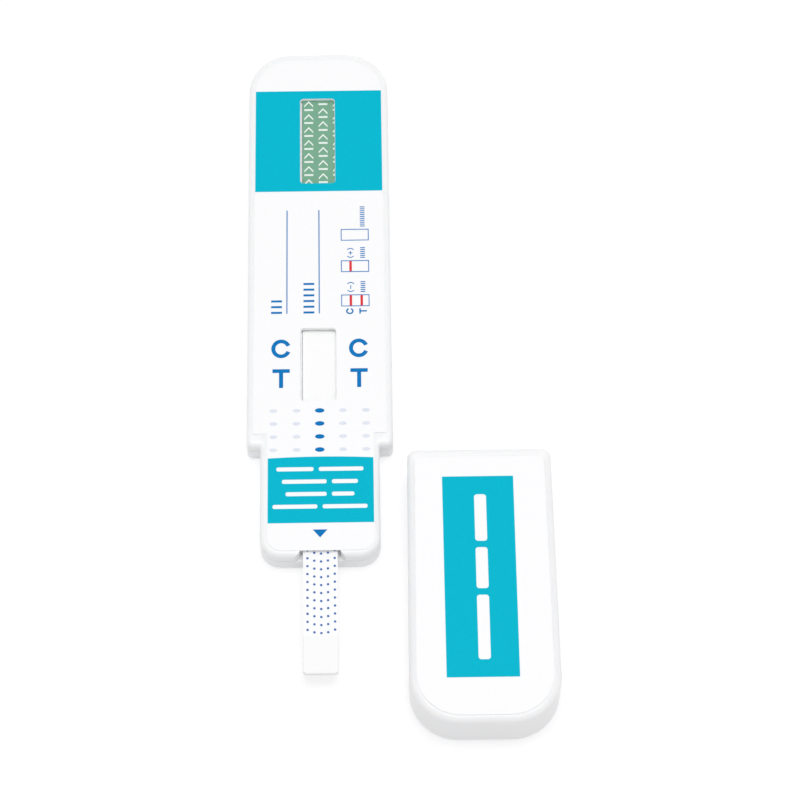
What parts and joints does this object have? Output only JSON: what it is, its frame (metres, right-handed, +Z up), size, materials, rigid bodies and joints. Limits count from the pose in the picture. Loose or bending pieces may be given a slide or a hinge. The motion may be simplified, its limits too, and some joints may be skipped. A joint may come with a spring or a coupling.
{
  "type": "lateral flow cassette",
  "caption": "Slim white lateral flow dip card with a labelled face, a name window, a result window and a protruding test strip, with its hollow cap lying beside it.",
  "frame": {"origin": "on the card's flat underside, on its centreline, in the plane of the shoulders that the cap stops against", "axes": "+Y along the card from the dipping end to the far end, +Z up out of the printed face, +X to the right as the card is read, where the cap lies"},
  "size_m": [0.0411, 0.1043, 0.0074],
  "materials": {
    "shell_plastic": "satin moulded",
    "label_film": "satin coated",
    "ink_teal": "satin print",
    "ink_blue": "satin print",
    "ink_pale": "satin print",
    "ink_red": "satin print",
    "ink_white": "satin print",
    "card_plastic": "matte sheet",
    "wick_pad": "soft fibre",
    "glass_fibre": "dried reagent on fibre",
    "membrane_white": "fine matte",
    "cover_film": "thin satin film",
    "name_film": "thin satin film"
  },
  "bodies": {
    "root": {"lower_shell": "shell_plastic", "upper_shell": "shell_plastic", "cap": "shell_plastic", "front_label": "label_film", "label_print_teal": "ink_teal", "label_print_blue": "ink_blue", "label_print_pale": "ink_pale", "label_print_red": "ink_red", "backing_card": "card_plastic", "sample_pad": "wick_pad", "absorbent_pad": "wick_pad", "conjugate_pad": "glass_fibre", "membrane": "membrane_white", "cover_tape": "cover_film", "cover_tape_print": "ink_blue", "name_tape": "name_film", "name_tape_print": "ink_white", "cap_label": "label_film", "cap_label_print": "ink_teal"}
  },
  "joints": []
}
